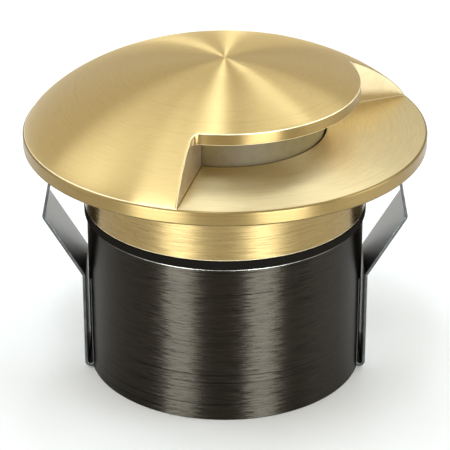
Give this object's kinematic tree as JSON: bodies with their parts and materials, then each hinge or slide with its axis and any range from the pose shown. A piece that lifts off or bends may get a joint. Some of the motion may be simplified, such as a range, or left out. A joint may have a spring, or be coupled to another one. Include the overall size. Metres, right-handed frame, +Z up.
{
  "type": "deck light",
  "caption": "Round recessed deck light with a domed brass head cut open to one side, a dark tube body, a rubber ring and bent spring clips.",
  "frame": {"origin": "centre of the tube's flat lower edge, on the axis", "axes": "+Z up along the axis to the top of the dome, -Y is the front, +X and -X are the sides with the clips"},
  "size_m": [0.06, 0.06, 0.0492],
  "materials": {
    "brass": "satin, lathe-brushed in rings",
    "frosted": "frosted, slightly translucent",
    "silicone": "matte",
    "bare_aluminium": "machined",
    "white_plastic": "matte",
    "black_rubber": "matte",
    "dark_aluminium": "dark anodised, satin",
    "white_board": "solder mask",
    "green_board": "solder mask",
    "black_plastic": "matte",
    "can_sleeve": "gloss",
    "ferrite": "matte",
    "green_plastic": "matte",
    "red_sleeve": "satin",
    "black_sleeve": "satin",
    "led": "gloss",
    "spring_steel": "rolled, satin",
    "yellow_brass": "machined",
    "screw_steel": "machined"
  },
  "bodies": {
    "housing": {"tube": "dark_aluminium", "heat_post": "bare_aluminium", "post_screw_1": "screw_steel", "post_screw_2": "screw_steel", "post_screw_3": "screw_steel", "led_board": "white_board", "led_1": "led", "led_2": "led", "led_3": "led", "led_4": "led", "board_screw_1": "screw_steel", "board_screw_2": "screw_steel", "lead_red": "red_sleeve", "lead_black": "black_sleeve", "driver_board": "green_board", "driver_chip": "black_plastic", "bridge": "black_plastic", "capacitor": "can_sleeve", "inductor": "ferrite", "terminal": "green_plastic", "standoff_1": "yellow_brass", "standoff_2": "yellow_brass", "standoff_3": "yellow_brass", "driver_screw_1": "screw_steel", "driver_screw_2": "screw_steel", "driver_screw_3": "screw_steel", "base_plate": "dark_aluminium", "base_seal": "black_rubber", "base_screw_1": "screw_steel", "base_screw_2": "screw_steel", "base_screw_3": "screw_steel", "gland": "black_plastic", "gland_seal": "black_rubber", "gland_nut": "bare_aluminium", "clip_left_base": "spring_steel", "clip_right_base": "spring_steel"},
    "gasket": {"gasket": "black_rubber"},
    "head": {"cover": "brass", "collar": "brass", "collar_screw_1": "screw_steel", "collar_screw_2": "screw_steel", "collar_screw_3": "screw_steel", "lens": "frosted", "lens_seal": "silicone", "lens_ring": "bare_aluminium", "deflector": "white_plastic"},
    "clip_left": {"clip_left_arm": "spring_steel"},
    "clip_right": {"clip_right_arm": "spring_steel"}
  },
  "joints": [
    {"name": "head_rise", "type": "slide", "parent": "housing", "child": "gasket", "axis": [0, 0, 1], "range_m": [0, 0.0045]},
    {"name": "head_turn", "type": "hinge", "parent": "gasket", "child": "head", "pos_m": [0, 0, 0.0363], "axis": [0, 0, 1], "range_deg": [0, 1080]},
    {"name": "clip_left_flex", "type": "hinge", "parent": "housing", "child": "clip_left", "pos_m": [-0.02133, 0, 0.0159], "axis": [0, 1, 0], "range_deg": [0, 14], "stiffness_Nm_per_rad": 0.06},
    {"name": "clip_right_flex", "type": "hinge", "parent": "housing", "child": "clip_right", "pos_m": [0.02133, 0, 0.0159], "axis": [0, -1, 0], "range_deg": [0, 14], "stiffness_Nm_per_rad": 0.06}
  ],
  "couplings": [
    {"joint": "head_rise", "follows": "head_turn", "m_per_rad": 0.00023873}
  ]
}
